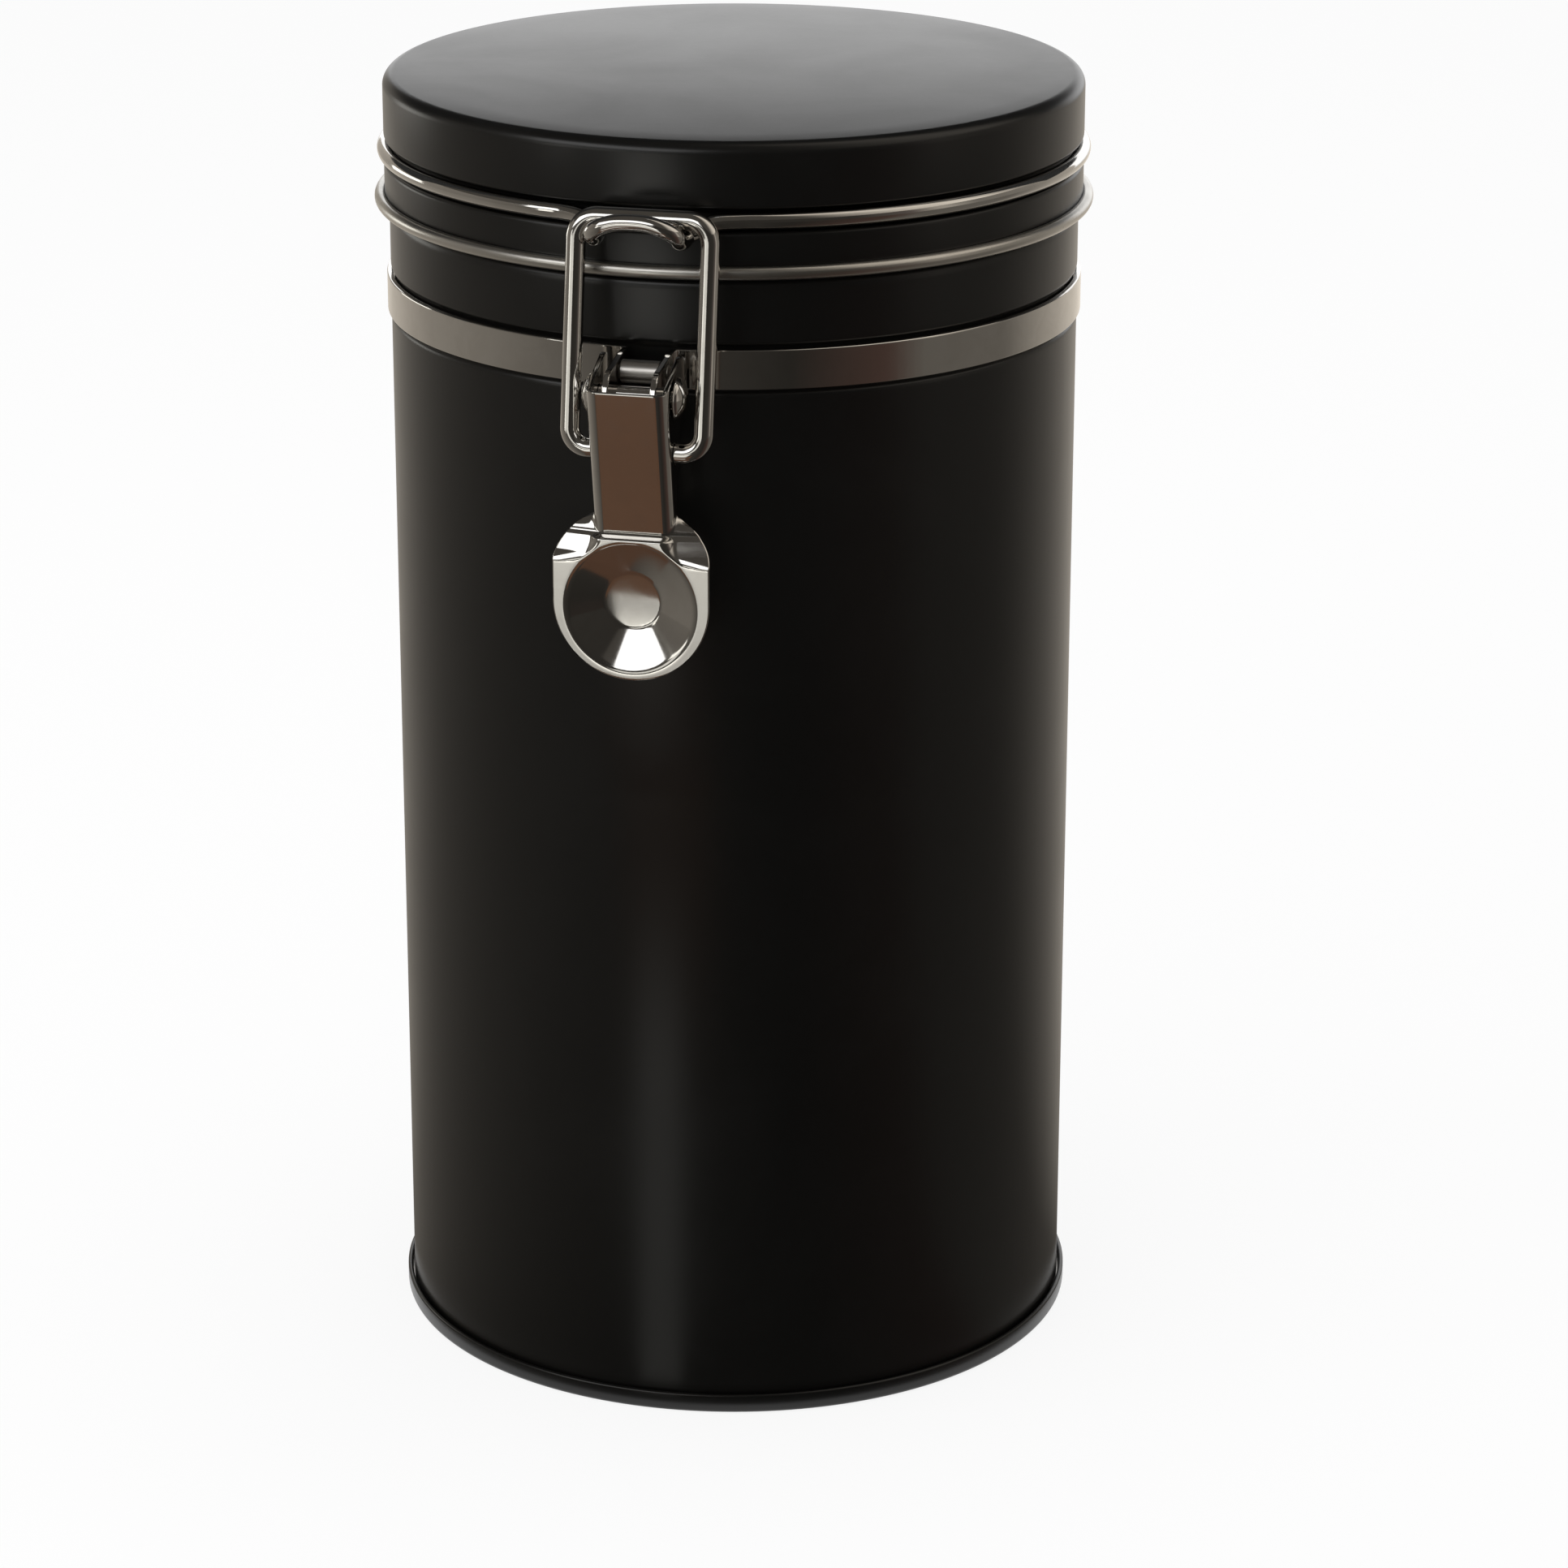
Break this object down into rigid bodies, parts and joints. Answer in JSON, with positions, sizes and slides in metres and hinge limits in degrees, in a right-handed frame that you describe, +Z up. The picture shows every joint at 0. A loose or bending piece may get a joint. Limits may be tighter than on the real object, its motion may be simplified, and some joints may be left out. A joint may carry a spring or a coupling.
{
  "type": "coffee canister",
  "caption": "Tall round sheet-metal canister with a hinged flat lid, held shut by a wire bail and an over-centre lever with a round dished thumb tab.",
  "frame": {"origin": "middle of the object's box at the plane the base stands on, 4.9 mm in front of the can's axis", "axes": "+Z up along the can's axis, -Y towards the latch, +Y towards the hinge, +X to the right of someone facing the latch"},
  "size_m": [0.1132, 0.1298, 0.2064],
  "materials": {
    "black_lacquer": "satin black lacquer on sheet steel",
    "plated_steel": "polished nickel plate on steel",
    "silicone": "matt translucent white silicone"
  },
  "bodies": {
    "canister": {"body_shell": "black_lacquer", "base_panel": "black_lacquer", "strap": "plated_steel", "tie_pin": "plated_steel", "pivot_rivet": "plated_steel", "hinge_leaf": "plated_steel", "hinge_rivet_left": "plated_steel", "hinge_rivet_right": "plated_steel"},
    "lever": {"lever": "plated_steel"},
    "bail": {"bail": "plated_steel"},
    "lid": {"lid_shell": "black_lacquer", "lid_gasket": "silicone", "ring_wire": "plated_steel"}
  },
  "joints": [
    {"name": "lever_pivot", "type": "hinge", "parent": "canister", "child": "lever", "pos_m": [0, -0.05847, 0.1696], "axis": [-1, 0, 0], "range_deg": [0, 90]},
    {"name": "bail_swing", "type": "hinge", "parent": "lever", "child": "bail", "pos_m": [0, -0.05908, 0.1614], "axis": [-1, 0, 0], "range_deg": [-76, 0]},
    {"name": "lid_hinge", "type": "hinge", "parent": "canister", "child": "lid", "pos_m": [0, 0.06248, 0.1784], "axis": [-1, 0, 0], "range_deg": [0, 100]}
  ],
  "couplings": [
    {"joint": "bail_swing", "follows": "lever_pivot", "ratio": -0.83}
  ]
}
